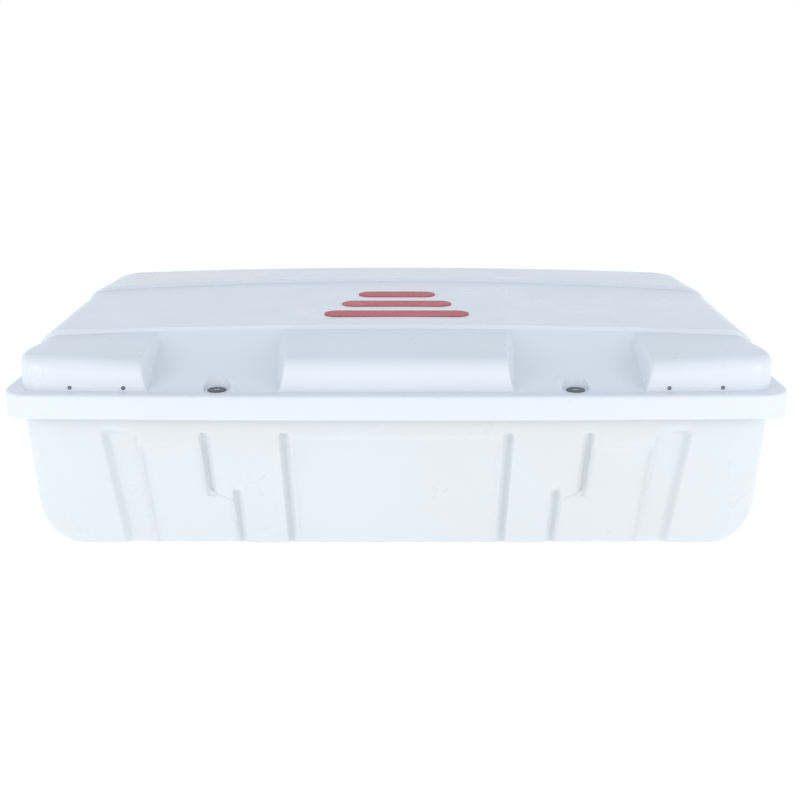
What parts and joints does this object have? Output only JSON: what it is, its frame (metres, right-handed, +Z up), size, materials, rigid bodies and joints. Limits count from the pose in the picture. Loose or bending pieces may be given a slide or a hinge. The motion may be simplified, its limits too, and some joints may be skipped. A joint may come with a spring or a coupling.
{
  "type": "roof cargo box",
  "caption": "Hard white roof cargo box: flanged tub, stepped lid on rear hinges with sliding stays, cam locks, braces and slotted floor plates.",
  "frame": {"origin": "centre of the bounding box in plan, on the underside of the tub", "axes": "+X runs across the box along its longest side, -Y is the front with the locks, +Z is up"},
  "size_m": [1.5, 0.9, 0.4239],
  "materials": {
    "shell": "vacuum-formed white ABS, satin gloss",
    "seal": "black closed-cell rubber",
    "emblem": "plain red film stripes",
    "plate": "zinc-plated steel strip",
    "brace": "mill aluminium tube",
    "block": "black nylon",
    "lock_black": "dark grey moulded lock housing",
    "lock_metal": "die-cast lock plug",
    "rivet": "aluminium blind rivets",
    "steel": "zinc-plated steel"
  },
  "bodies": {
    "base": {"floor_plate_left": "plate", "floor_plate_right": "plate", "floor_rivets": "rivet", "hinge_bracket_center": "steel", "hinge_bracket_left": "steel", "hinge_bracket_right": "steel", "hinge_bracket_rivets": "rivet", "hinge_pin_center": "steel", "hinge_pin_left": "steel", "hinge_pin_right": "steel", "rim_seal": "seal", "stay_block_left": "block", "stay_block_right": "block", "stay_block_rivets": "block", "stay_pivot_left": "steel", "stay_pivot_right": "steel", "striker_left": "steel", "striker_right": "steel", "striker_rivets": "rivet", "tub": "shell"},
    "lid": {"brace_rivets": "rivet", "emblem": "emblem", "hinge_leaf_center": "steel", "hinge_leaf_left": "steel", "hinge_leaf_right": "steel", "hinge_leaf_rivets": "rivet", "lid": "shell", "lid_brace_left": "brace", "lid_brace_right": "brace", "lock_body_left": "lock_black", "lock_body_right": "lock_black", "lock_nut_left": "steel", "lock_nut_right": "steel", "stay_rail_left": "steel", "stay_rail_right": "steel", "stay_rail_rivets": "rivet"},
    "lock_left": {"cam_screw_left": "steel", "lock_cam_left": "steel", "lock_plug_left": "lock_metal"},
    "lock_right": {"cam_screw_right": "steel", "lock_cam_right": "steel", "lock_plug_right": "lock_metal"},
    "stay_left": {"stay_arm_left": "steel", "stay_stud_left": "steel"},
    "stay_right": {"stay_arm_right": "steel", "stay_stud_right": "steel"}
  },
  "joints": [
    {"name": "lid_hinge", "type": "hinge", "parent": "base", "child": "lid", "pos_m": [0, 0.446, 0.258], "axis": [-1, 0, 0], "range_deg": [0, 65]},
    {"name": "lock_turn_left", "type": "hinge", "parent": "lid", "child": "lock_left", "pos_m": [-0.341, -0.405, 0.3], "axis": [0, 0, 1], "range_deg": [0, 90]},
    {"name": "stay_swing_left", "type": "hinge", "parent": "base", "child": "stay_left", "pos_m": [-0.6945, 0.22684, 0.27717], "axis": [-1, 0, 0], "range_deg": [0, 130]},
    {"name": "lock_turn_right", "type": "hinge", "parent": "lid", "child": "lock_right", "pos_m": [0.341, -0.405, 0.3], "axis": [0, 0, -1], "range_deg": [0, 90]},
    {"name": "stay_swing_right", "type": "hinge", "parent": "base", "child": "stay_right", "pos_m": [0.6945, 0.22684, 0.27717], "axis": [-1, 0, 0], "range_deg": [0, 130]}
  ],
  "couplings": [
    {"joint": "stay_swing_left", "follows": "lid_hinge", "ratio": 2},
    {"joint": "stay_swing_right", "follows": "lid_hinge", "ratio": 2}
  ]
}
